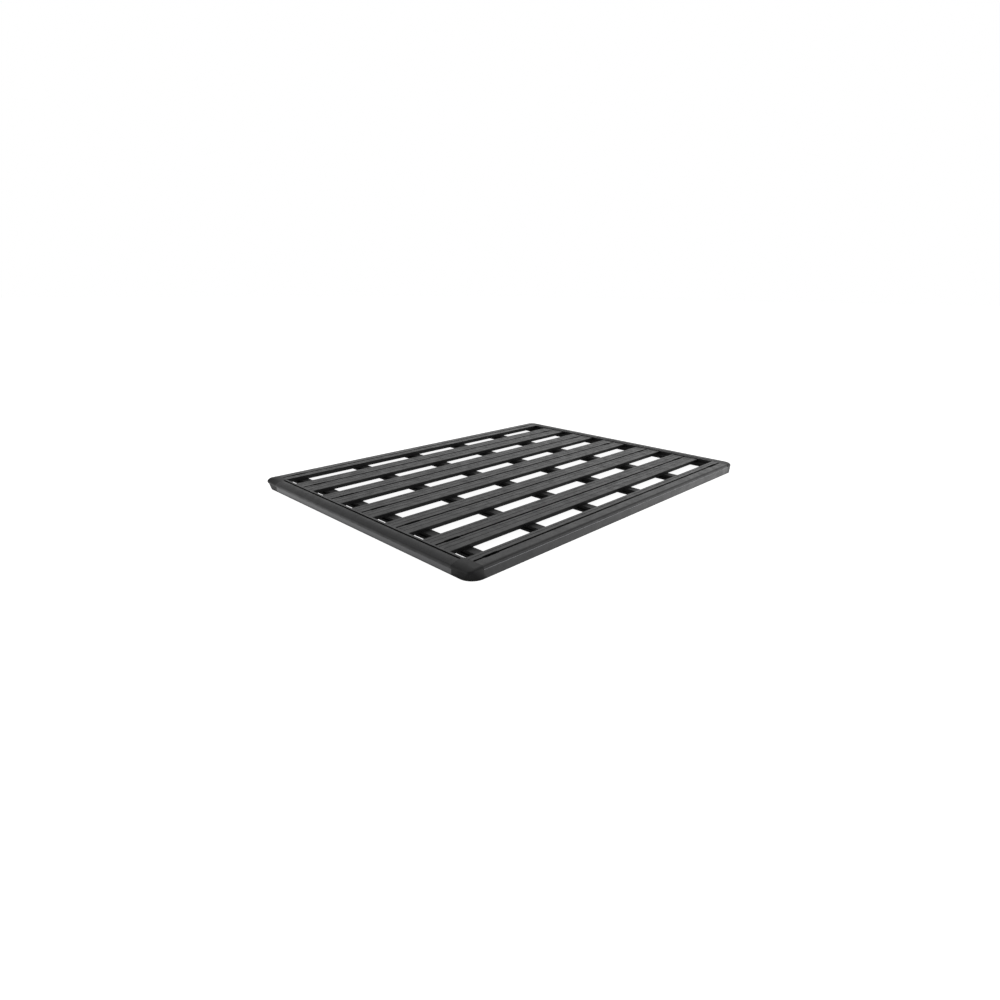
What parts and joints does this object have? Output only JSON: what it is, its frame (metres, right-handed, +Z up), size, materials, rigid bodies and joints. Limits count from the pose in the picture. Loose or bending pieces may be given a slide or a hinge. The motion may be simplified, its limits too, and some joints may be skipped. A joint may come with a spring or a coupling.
{
  "type": "flat platform roof rack",
  "caption": "Flat aluminium platform roof rack: lengthwise T-slot planks on crossbars inside side rails, a rounded nose bar and moulded corners.",
  "frame": {"origin": "centre of the rack's underside, on the floor it rests on", "axes": "+X along the planks from the nose to the tail, +Y towards the right side rail, +Z up"},
  "size_m": [1.832, 1.382, 0.0455],
  "materials": {
    "end_bar_coat": "satin black powder coat",
    "rail_coat": "textured black powder coat",
    "corner_plastic": "smooth satin black",
    "plank_coat": "textured black powder coat",
    "crossbar_coat": "black powder coat",
    "cleat_coat": "black powder coat"
  },
  "bodies": {
    "root": {"front_end_bar": "end_bar_coat", "rear_end_bar": "end_bar_coat", "left_side_rail": "rail_coat", "right_side_rail": "rail_coat", "front_left_corner": "corner_plastic", "front_right_corner": "corner_plastic", "rear_left_corner": "corner_plastic", "rear_right_corner": "corner_plastic", "plank_1": "plank_coat", "plank_2": "plank_coat", "plank_3": "plank_coat", "plank_4": "plank_coat", "plank_5": "plank_coat", "crossbar_1": "crossbar_coat", "crossbar_2": "crossbar_coat", "crossbar_3": "crossbar_coat", "crossbar_4": "crossbar_coat", "crossbar_5": "crossbar_coat", "cleat_1_left": "cleat_coat", "cleat_1_right": "cleat_coat", "cleat_2_left": "cleat_coat", "cleat_2_right": "cleat_coat", "cleat_3_left": "cleat_coat", "cleat_3_right": "cleat_coat", "cleat_4_left": "cleat_coat", "cleat_4_right": "cleat_coat", "cleat_5_left": "cleat_coat", "cleat_5_right": "cleat_coat"}
  },
  "joints": []
}
